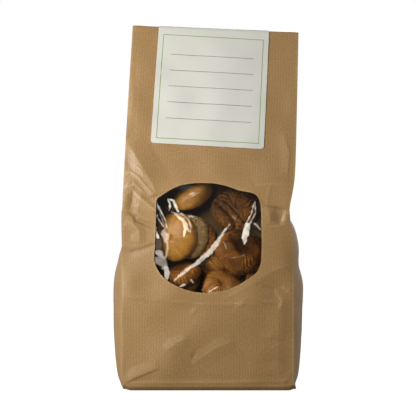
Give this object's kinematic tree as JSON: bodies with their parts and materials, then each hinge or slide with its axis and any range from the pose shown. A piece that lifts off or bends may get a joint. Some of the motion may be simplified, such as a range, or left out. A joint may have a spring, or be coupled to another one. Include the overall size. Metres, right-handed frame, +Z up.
{
  "type": "kraft paper bag of dried figs",
  "caption": "Ribbed brown kraft paper block-bottom bag with a clear film window, filled with pressed dried figs, its mouth folded over behind under a plain white label.",
  "frame": {"origin": "middle of the base, on the surface that the bag stands on", "axes": "+Z up, -Y towards the window, +X to the right as the window is seen"},
  "size_m": [0.1592, 0.0848, 0.3029],
  "materials": {
    "kraft_paper": "matte, fine upright ribs",
    "clear_film": "clear, glossy, wrinkled",
    "label_paper": "satin coated",
    "fig_golden": "waxy, pleated",
    "fig_amber": "waxy, pleated",
    "fig_brown": "dry, wrinkled",
    "fig_olive": "dry, pleated"
  },
  "bodies": {
    "root": {"paper_bag": "kraft_paper", "window_film": "clear_film", "label": "label_paper", "fig_01": "fig_golden", "fig_02": "fig_olive", "fig_03": "fig_amber", "fig_04": "fig_golden", "fig_05": "fig_brown", "fig_06": "fig_brown", "fig_07": "fig_brown", "fig_08": "fig_amber", "fig_09": "fig_brown", "fig_10": "fig_amber", "fig_11": "fig_brown", "fig_12": "fig_amber", "fig_13": "fig_olive", "fig_14": "fig_olive", "fig_15": "fig_amber", "fig_16": "fig_olive", "fig_17": "fig_olive", "fig_18": "fig_brown", "fig_19": "fig_brown", "fig_20": "fig_amber", "fig_21": "fig_brown", "fig_22": "fig_golden", "fig_23": "fig_brown", "fig_24": "fig_olive", "fig_25": "fig_amber", "fig_26": "fig_golden", "fig_27": "fig_brown", "fig_28": "fig_olive", "fig_29": "fig_olive", "fig_30": "fig_golden", "fig_31": "fig_brown", "fig_32": "fig_olive", "fig_33": "fig_brown", "fig_34": "fig_brown", "fig_35": "fig_olive", "fig_36": "fig_amber", "fig_37": "fig_olive", "fig_38": "fig_golden", "fig_39": "fig_amber", "fig_40": "fig_brown", "fig_41": "fig_brown", "fig_42": "fig_golden", "fig_43": "fig_brown", "fig_44": "fig_olive", "fig_45": "fig_amber", "fig_46": "fig_brown"}
  },
  "joints": []
}
